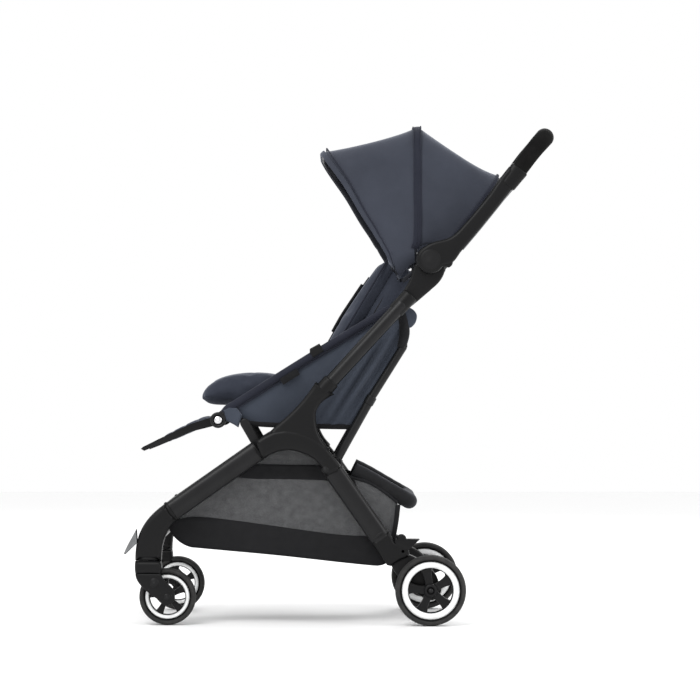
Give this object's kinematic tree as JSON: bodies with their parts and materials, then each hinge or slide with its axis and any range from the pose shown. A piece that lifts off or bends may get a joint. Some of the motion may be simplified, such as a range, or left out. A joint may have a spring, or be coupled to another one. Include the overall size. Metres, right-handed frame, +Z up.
{
  "type": "baby stroller",
  "caption": "Compact folding pushchair with a reclining seat, folding canopy, leg rest, storage basket, swivelling front wheels and a one-piece handlebar.",
  "frame": {"origin": "on the ground, under the middle of the whole object's box", "axes": "the seat faces -X, +X is the push handle's end, +Y is the child's right side, +Z up"},
  "size_m": [0.8635, 0.45, 1.0014],
  "materials": {
    "wheel_plastic": "satin white rings on black spokes",
    "tyre_rubber": "matte foam rubber",
    "pin_steel": "satin",
    "bumper_grey": "satin",
    "frame_black": "satin black",
    "moulded_black": "fine grained",
    "bow_plastic": "satin",
    "button_silver": "satin silver",
    "grip_leather": "grained, stitched",
    "seat_fabric": "slate blue melange",
    "shell_fabric": "slate blue twill",
    "basket_fabric": "black mesh and binding",
    "webbing": "woven"
  },
  "bodies": {
    "chassis": {"side_frame_left": "moulded_black", "side_frame_right": "moulded_black", "front_leg_left": "frame_black", "front_leg_right": "frame_black", "front_foot_left": "moulded_black", "front_foot_right": "moulded_black", "front_crossbar": "frame_black", "foot_bumpers": "bumper_grey", "seat_side_tube_left": "frame_black", "seat_side_tube_right": "frame_black", "rear_strut_left": "frame_black", "rear_strut_right": "frame_black", "strut_crossbar": "frame_black", "seat_links": "frame_black", "seat_board": "moulded_black", "seat_cushion": "seat_fabric", "side_panel_left": "shell_fabric", "side_panel_right": "shell_fabric", "basket": "basket_fabric", "basket_rear_bar": "basket_fabric", "fold_pins": "pin_steel", "crotch_strap": "webbing", "buckle": "moulded_black"},
    "buckle_button": {"buckle_button": "moulded_black"},
    "backrest": {"back_board": "moulded_black", "backrest_pad": "seat_fabric", "shoulder_straps": "webbing"},
    "leg_rest": {"leg_rest_frame": "frame_black", "leg_rest_pad": "seat_fabric"},
    "leg_button_left": {"leg_rest_button_left": "button_silver"},
    "leg_button_right": {"leg_rest_button_right": "button_silver"},
    "rear_legs": {"rear_leg_left": "frame_black", "rear_leg_right": "frame_black", "rear_housings": "moulded_black", "rear_axle": "frame_black", "brake_pin": "pin_steel"},
    "brake": {"brake_pedal": "moulded_black"},
    "caster_left": {"caster_left": "moulded_black"},
    "caster_right": {"caster_right": "moulded_black"},
    "front_wheel_left": {"front_rim_left": "wheel_plastic", "front_tyre_left": "tyre_rubber"},
    "front_wheel_right": {"front_rim_right": "wheel_plastic", "front_tyre_right": "tyre_rubber"},
    "rear_wheel_left": {"rear_rim_left": "wheel_plastic", "rear_tyre_left": "tyre_rubber"},
    "rear_wheel_right": {"rear_rim_right": "wheel_plastic", "rear_tyre_right": "tyre_rubber"},
    "upper_frame": {"main_tube_left": "frame_black", "main_tube_right": "frame_black", "hub_bracket_left": "moulded_black", "hub_bracket_right": "moulded_black", "canopy_rear_bow": "bow_plastic", "canopy_rear_panel": "shell_fabric"},
    "canopy_mid": {"canopy_mid_bow": "bow_plastic"},
    "canopy_front": {"canopy_front_bow": "bow_plastic", "canopy_front_panel": "shell_fabric"},
    "handlebar": {"handle_arm_left": "frame_black", "handle_arm_right": "frame_black", "handle_grip": "grip_leather"},
    "fold_button": {"fold_button": "moulded_black"}
  },
  "joints": [
    {"name": "fold", "type": "slide", "parent": "chassis", "child": "upper_frame", "axis": [-0.676, 0, -0.7369], "range_m": [0, 0.09]},
    {"name": "rear_leg_fold", "type": "hinge", "parent": "chassis", "child": "rear_legs", "pos_m": [-0.02715, 0, 0.31135], "axis": [0, 1, 0], "range_deg": [0, 65]},
    {"name": "handlebar_fold", "type": "hinge", "parent": "upper_frame", "child": "handlebar", "pos_m": [0.183, 0, 0.732], "axis": [0, 1, 0], "range_deg": [0, 120]},
    {"name": "canopy_fold", "type": "hinge", "parent": "upper_frame", "child": "canopy_mid", "pos_m": [0.183, 0, 0.732], "axis": [0, 1, 0], "range_deg": [0, 30], "deforming": ["canopy_rear_panel"]},
    {"name": "canopy_front_fold", "type": "hinge", "parent": "canopy_mid", "child": "canopy_front", "pos_m": [0.183, 0, 0.732], "axis": [0, 1, 0], "range_deg": [0, 30], "deforming": ["canopy_front_panel"]},
    {"name": "recline", "type": "hinge", "parent": "chassis", "child": "backrest", "pos_m": [-0.046, 0, 0.436], "axis": [0, -1, 0], "range_deg": [-25, 0]},
    {"name": "leg_rest_tilt", "type": "hinge", "parent": "chassis", "child": "leg_rest", "pos_m": [-0.244, 0, 0.41], "axis": [0, 1, 0], "range_deg": [-65, 20]},
    {"name": "leg_button_left_push", "type": "slide", "parent": "chassis", "child": "leg_button_left", "axis": [0, 1, 0], "range_m": [0, 0.0025], "stiffness_N_per_m": 400},
    {"name": "leg_button_right_push", "type": "slide", "parent": "chassis", "child": "leg_button_right", "axis": [0, -1, 0], "range_m": [0, 0.0025], "stiffness_N_per_m": 400},
    {"name": "buckle_button_push", "type": "slide", "parent": "chassis", "child": "buckle_button", "axis": [1, 0, 0], "range_m": [0, 0.002], "stiffness_N_per_m": 400},
    {"name": "fold_button_push", "type": "slide", "parent": "handlebar", "child": "fold_button", "axis": [0.6157, 0, 0.788], "range_m": [0, 0.003], "stiffness_N_per_m": 400},
    {"name": "brake_press", "type": "hinge", "parent": "rear_legs", "child": "brake", "pos_m": [0.128, 0, 0.148], "axis": [0, 1, 0], "range_deg": [0, 20]},
    {"name": "caster_left_swivel", "type": "hinge", "parent": "chassis", "child": "caster_left", "pos_m": [-0.382, -0.183, 0.129], "axis": [0, 0, 1], "continuous": true},
    {"name": "caster_right_swivel", "type": "hinge", "parent": "chassis", "child": "caster_right", "pos_m": [-0.382, 0.183, 0.129], "axis": [0, 0, 1], "continuous": true},
    {"name": "front_wheel_left_spin", "type": "hinge", "parent": "caster_left", "child": "front_wheel_left", "pos_m": [-0.3436, -0.183, 0.057], "axis": [0, 1, 0], "continuous": true},
    {"name": "front_wheel_right_spin", "type": "hinge", "parent": "caster_right", "child": "front_wheel_right", "pos_m": [-0.3436, 0.183, 0.057], "axis": [0, 1, 0], "continuous": true},
    {"name": "rear_wheel_left_spin", "type": "hinge", "parent": "rear_legs", "child": "rear_wheel_left", "pos_m": [0.183, -0.208, 0.071], "axis": [0, 1, 0], "continuous": true},
    {"name": "rear_wheel_right_spin", "type": "hinge", "parent": "rear_legs", "child": "rear_wheel_right", "pos_m": [0.183, 0.208, 0.071], "axis": [0, 1, 0], "continuous": true}
  ],
  "couplings": [
    {"joint": "rear_leg_fold", "follows": "fold", "rad_per_m": 12.586},
    {"joint": "canopy_front_fold", "follows": "canopy_fold", "ratio": 1}
  ]
}
